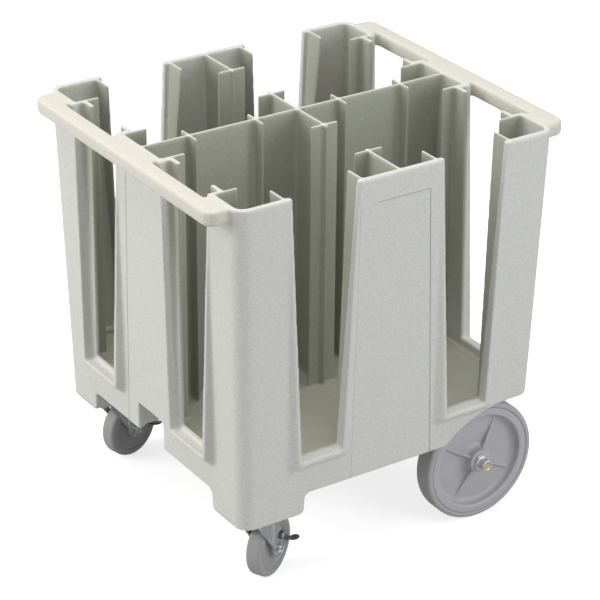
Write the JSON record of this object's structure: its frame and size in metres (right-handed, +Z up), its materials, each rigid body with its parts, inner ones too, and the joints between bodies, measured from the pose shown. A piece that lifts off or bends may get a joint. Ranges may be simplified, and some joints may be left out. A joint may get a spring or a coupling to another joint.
{
  "type": "dish cart",
  "caption": "Moulded polyethylene dish cart with open storage wells between tall posts, push handles at the ends, large fixed wheels on a through axle and braked swivel casters.",
  "frame": {"origin": "on the floor under the middle of the body", "axes": "+Z up, +X along the body towards the end with the large wheels, -Y the near long side of the picture"},
  "size_m": [0.782, 0.6864, 0.813],
  "materials": {
    "cart_plastic": "satin, finely speckled",
    "wheel_plastic": "satin",
    "wheel_rubber": "matte",
    "caster_plastic": "satin",
    "caster_rubber": "matte",
    "bush_plastic": "satin",
    "zinc_steel": "zinc plated",
    "passivated_steel": "yellow passivated",
    "brake_steel": "satin"
  },
  "bodies": {
    "cart_body": {"deck": "cart_plastic", "keel_ribs": "cart_plastic", "skirt_near": "cart_plastic", "skirt_far": "cart_plastic", "skirt_caster_end": "cart_plastic", "skirt_wheel_end": "cart_plastic", "caster_block_near": "cart_plastic", "caster_block_far": "cart_plastic", "axle_housing_near": "cart_plastic", "axle_housing_far": "cart_plastic", "post_near_caster": "cart_plastic", "post_near_side": "cart_plastic", "post_near_wheel": "cart_plastic", "post_far_caster": "cart_plastic", "post_far_side": "cart_plastic", "post_far_wheel": "cart_plastic", "post_caster_end": "cart_plastic", "post_wheel_end": "cart_plastic", "divider_long": "cart_plastic", "divider_fins": "cart_plastic", "divider_near": "cart_plastic", "divider_far": "cart_plastic", "handle_caster_end": "cart_plastic", "handle_wheel_end": "cart_plastic", "axle": "passivated_steel", "washers_near": "zinc_steel", "axle_cap_near": "zinc_steel", "caster_plate_near": "zinc_steel", "caster_bolts_near": "zinc_steel", "swivel_race_near": "zinc_steel", "kingpin_near": "zinc_steel", "washers_far": "zinc_steel", "axle_cap_far": "zinc_steel", "caster_plate_far": "zinc_steel", "caster_bolts_far": "zinc_steel", "swivel_race_far": "zinc_steel", "kingpin_far": "zinc_steel"},
    "near_wheel": {"tyre_near": "wheel_rubber", "wheel_core_near": "wheel_plastic", "wheel_bush_near": "bush_plastic"},
    "near_fork": {"fork_near": "zinc_steel", "caster_axle_near": "zinc_steel", "caster_spacer_near": "zinc_steel", "brake_pin_near": "zinc_steel"},
    "near_caster_wheel": {"caster_core_near": "caster_plastic", "caster_tyre_near": "caster_rubber"},
    "near_brake": {"brake_lever_near": "brake_steel"},
    "far_wheel": {"tyre_far": "wheel_rubber", "wheel_core_far": "wheel_plastic", "wheel_bush_far": "bush_plastic"},
    "far_fork": {"fork_far": "zinc_steel", "caster_axle_far": "zinc_steel", "caster_spacer_far": "zinc_steel", "brake_pin_far": "zinc_steel"},
    "far_caster_wheel": {"caster_core_far": "caster_plastic", "caster_tyre_far": "caster_rubber"},
    "far_brake": {"brake_lever_far": "brake_steel"}
  },
  "joints": [
    {"name": "near_wheel_spin", "type": "hinge", "parent": "cart_body", "child": "near_wheel", "pos_m": [0.2314, -0.286, 0.125], "axis": [0, 1, 0], "continuous": true},
    {"name": "near_swivel", "type": "hinge", "parent": "cart_body", "child": "near_fork", "pos_m": [-0.261, -0.272, 0.145], "axis": [0, 0, 1], "continuous": true},
    {"name": "near_caster_spin", "type": "hinge", "parent": "near_fork", "child": "near_caster_wheel", "pos_m": [-0.22568, -0.25322, 0.0625], "axis": [-0.4695, 0.8829, 0], "continuous": true},
    {"name": "near_brake_hinge", "type": "hinge", "parent": "near_fork", "child": "near_brake", "pos_m": [-0.20568, -0.26954, 0.084], "axis": [-0.4695, 0.8829, 0], "range_deg": [0, 14]},
    {"name": "far_wheel_spin", "type": "hinge", "parent": "cart_body", "child": "far_wheel", "pos_m": [0.2314, 0.286, 0.125], "axis": [0, 1, 0], "continuous": true},
    {"name": "far_swivel", "type": "hinge", "parent": "cart_body", "child": "far_fork", "pos_m": [-0.261, 0.272, 0.145], "axis": [0, 0, 1], "continuous": true},
    {"name": "far_caster_spin", "type": "hinge", "parent": "far_fork", "child": "far_caster_wheel", "pos_m": [-0.22219, 0.28168, 0.0625], "axis": [-0.2419, 0.9703, 0], "continuous": true},
    {"name": "far_brake_hinge", "type": "hinge", "parent": "far_fork", "child": "far_brake", "pos_m": [-0.20673, 0.261, 0.084], "axis": [-0.2419, 0.9703, 0], "range_deg": [0, 14]}
  ]
}
